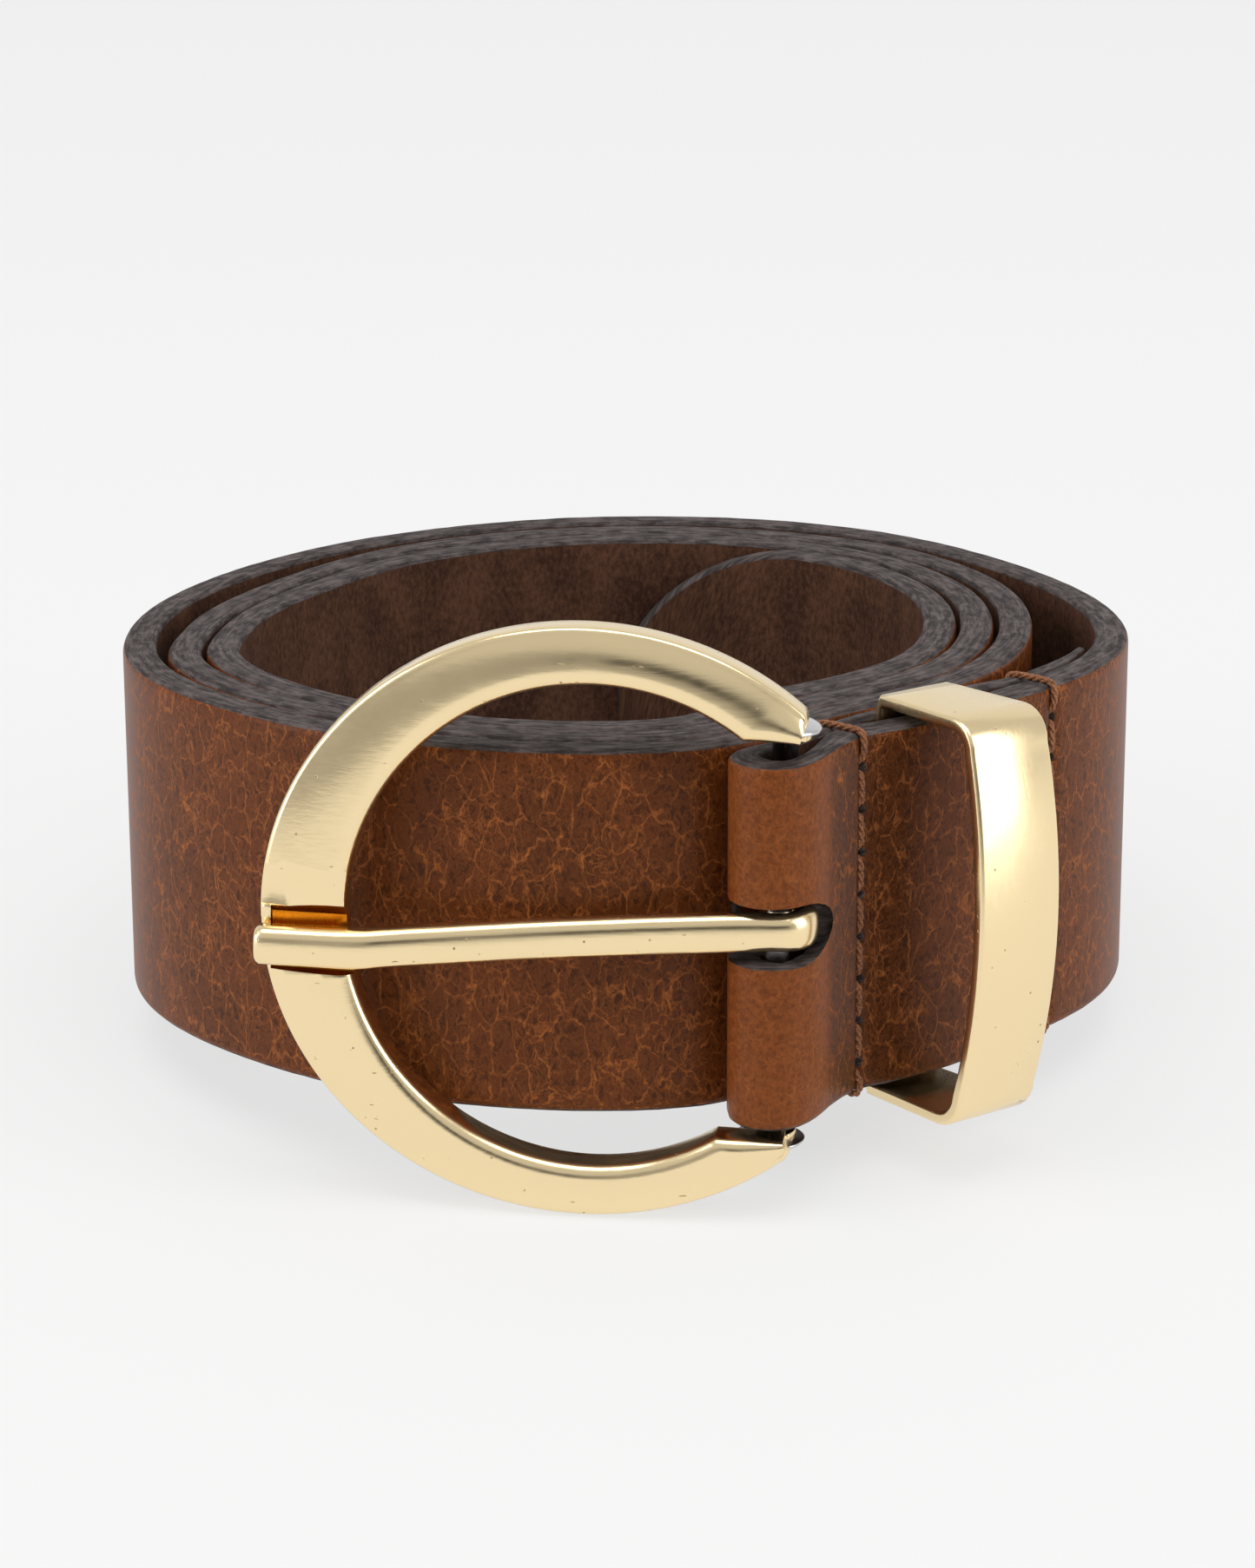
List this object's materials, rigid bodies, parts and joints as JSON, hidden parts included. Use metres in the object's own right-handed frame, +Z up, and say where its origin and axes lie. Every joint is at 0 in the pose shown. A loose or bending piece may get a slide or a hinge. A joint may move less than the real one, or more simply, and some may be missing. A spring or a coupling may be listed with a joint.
{
  "type": "leather belt",
  "caption": "Coiled full-grain leather dress belt with a horseshoe buckle, hinged prong, steel bar, sliding metal keeper and sewn fold-back.",
  "frame": {"origin": "centre of the footprint, on the surface that the coiled belt stands on", "axes": "+Z up; the belt is coiled about an axis that leans back from +Z by the resting tilt; -Y is the buckle's side, +X the keeper's side"},
  "size_m": [0.1152, 0.1214, 0.0635],
  "materials": {
    "leather": "waxed full-grain cognac leather with a fine crackle, grey-brown dyed edges and a dark suede back",
    "thread": "twisted brown-orange bonded thread",
    "gold_plate": "pale gold plating, polished with fine brushing, pits and hairlines",
    "bar_steel": "bright drawn steel"
  },
  "bodies": {
    "belt": {"strap": "leather", "stitches_at_buckle": "thread", "stitches_past_keeper": "thread"},
    "buckle": {"buckle_ring": "gold_plate", "buckle_bar": "bar_steel"},
    "prong": {"prong": "gold_plate"},
    "keeper": {"keeper_loop": "gold_plate"}
  },
  "joints": [
    {"name": "buckle_swing", "type": "hinge", "parent": "belt", "child": "buckle", "pos_m": [0.01562, -0.05289, 0.03037], "axis": [0.0329, 0.0885, 0.9955], "range_deg": [0, 60]},
    {"name": "prong_swing", "type": "hinge", "parent": "buckle", "child": "prong", "pos_m": [0.01562, -0.05289, 0.03037], "axis": [0.0329, 0.0885, 0.9955], "range_deg": [0, 80]},
    {"name": "keeper_slide", "type": "hinge", "parent": "belt", "child": "keeper", "pos_m": [-0.00155, 0.00251, 0.02514], "axis": [0, 0.0924, 0.9957], "range_deg": [-1, 7]}
  ]
}
